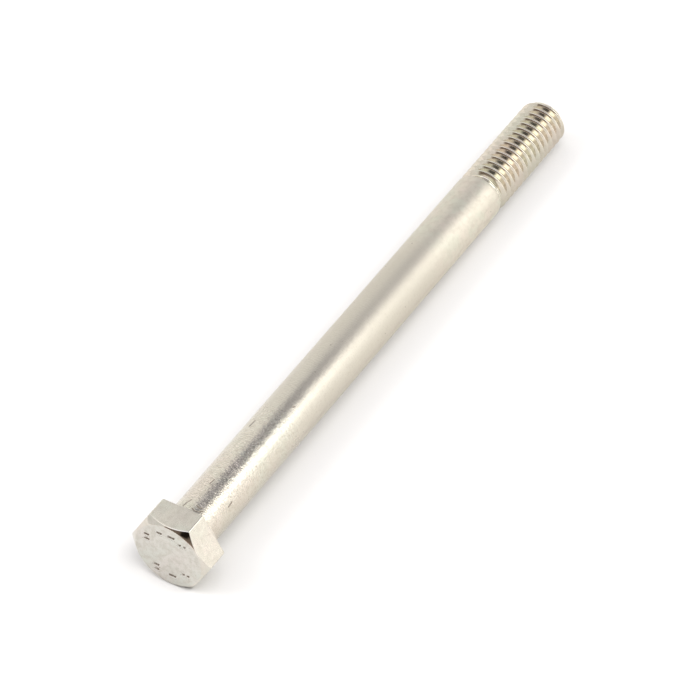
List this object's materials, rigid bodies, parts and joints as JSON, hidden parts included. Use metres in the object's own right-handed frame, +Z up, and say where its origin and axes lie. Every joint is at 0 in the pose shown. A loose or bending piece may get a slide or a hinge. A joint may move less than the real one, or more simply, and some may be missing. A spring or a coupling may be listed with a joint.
{
  "type": "hex cap screw",
  "caption": "Long hex head bolt: chamfered hexagon head with a washer face, plain shank and a right-hand thread at the far end.",
  "frame": {"origin": "centre of the head's outer face, on the bolt's axis", "axes": "+X along the axis from the head to the thread's end, +Z up through a flat of the head, +Y along the line of two opposite corners"},
  "size_m": [0.1326, 0.0164, 0.0142],
  "materials": {
    "steel": "satin drawn shank, smoother head flats and thread"
  },
  "bodies": {
    "root": {"hex_bolt": "steel"}
  },
  "joints": []
}
